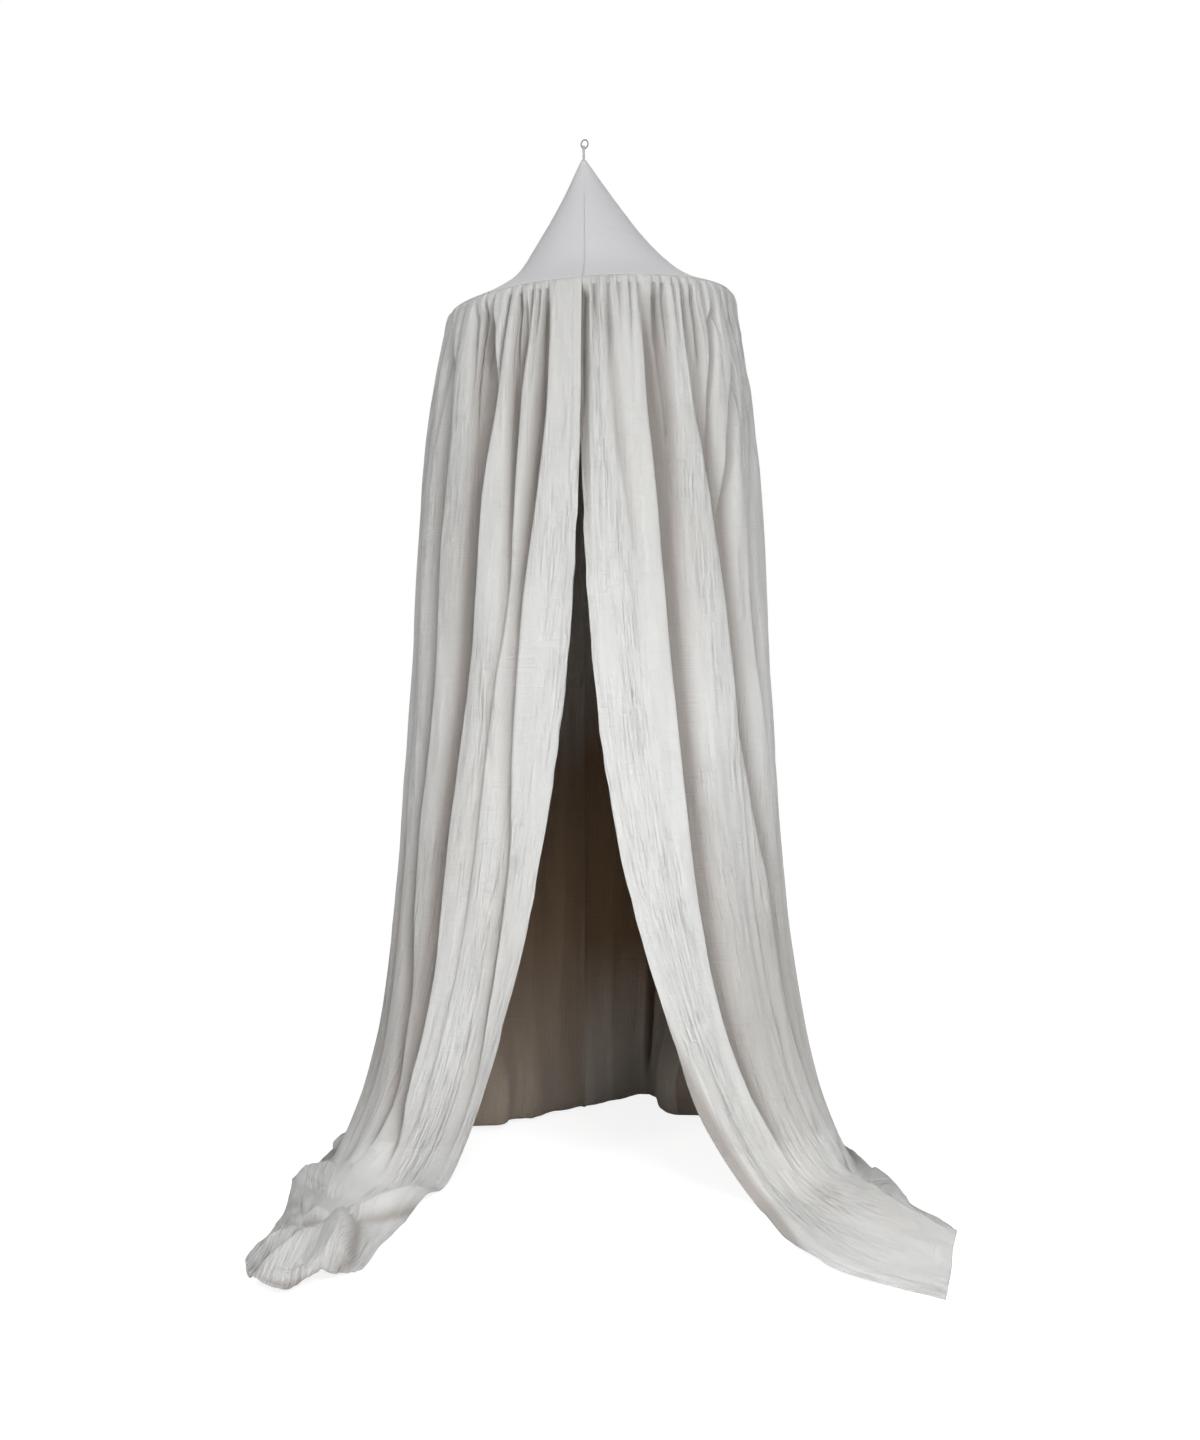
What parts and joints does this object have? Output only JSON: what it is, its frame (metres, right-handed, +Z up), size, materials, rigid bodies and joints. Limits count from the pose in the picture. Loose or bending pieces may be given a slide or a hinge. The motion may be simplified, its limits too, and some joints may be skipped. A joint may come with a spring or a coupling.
{
  "type": "bed canopy",
  "caption": "Hanging bed canopy: ring and tape, smooth cloth cone over a sprung hoop, and a gathered floor-length muslin skirt with a front slit.",
  "frame": {"origin": "where a ceiling hook bears, at the inner top of the hanging ring", "axes": "+Z up, -Y towards the front slit, +X to the right as seen from the front"},
  "size_m": [1.0296, 1.4924, 1.81],
  "materials": {
    "muslin": "matte, crinkled double gauze",
    "cone_cloth": "matte, smooth weave",
    "tape_cloth": "matte woven tape",
    "ring_steel": "dull drawn wire",
    "rod_fibre": "matte glass-fibre rod",
    "sleeve_steel": "plain drawn tube"
  },
  "bodies": {
    "ring": {"hanging_ring": "ring_steel"},
    "tape": {"hanging_tape": "tape_cloth"},
    "canopy": {"cone_left_gore": "cone_cloth", "cone_right_gore": "cone_cloth", "hoop_casing": "cone_cloth", "hoop_rod_1": "rod_fibre", "hoop_sleeve_1": "sleeve_steel", "hoop_rod_2": "rod_fibre", "hoop_sleeve_2": "sleeve_steel", "hoop_rod_3": "rod_fibre", "hoop_sleeve_3": "sleeve_steel", "hoop_rod_4": "rod_fibre", "hoop_sleeve_4": "sleeve_steel", "back_left_panel": "muslin", "back_right_panel": "muslin"},
    "left_curtain": {"front_left_panel": "muslin"},
    "right_curtain": {"front_right_panel": "muslin"}
  },
  "joints": [
    {"name": "tape_swing", "type": "hinge", "parent": "ring", "child": "tape", "pos_m": [-0.00293, 0, -0.01265], "axis": [1, 0, 0], "range_deg": [-20, 20]},
    {"name": "canopy_swivel", "type": "hinge", "parent": "tape", "child": "canopy", "pos_m": [-0.00293, 0, -0.03549], "axis": [0, 0, 1], "continuous": true},
    {"name": "left_curtain_open", "type": "hinge", "parent": "canopy", "child": "left_curtain", "pos_m": [-0.2765, 0.01, -0.3048], "axis": [-0.14, -0.023, -0.9899], "range_deg": [0, 35]},
    {"name": "right_curtain_open", "type": "hinge", "parent": "canopy", "child": "right_curtain", "pos_m": [0.2985, 0, -0.3048], "axis": [-0.14, 0.0165, 0.99], "range_deg": [0, 35]}
  ]
}
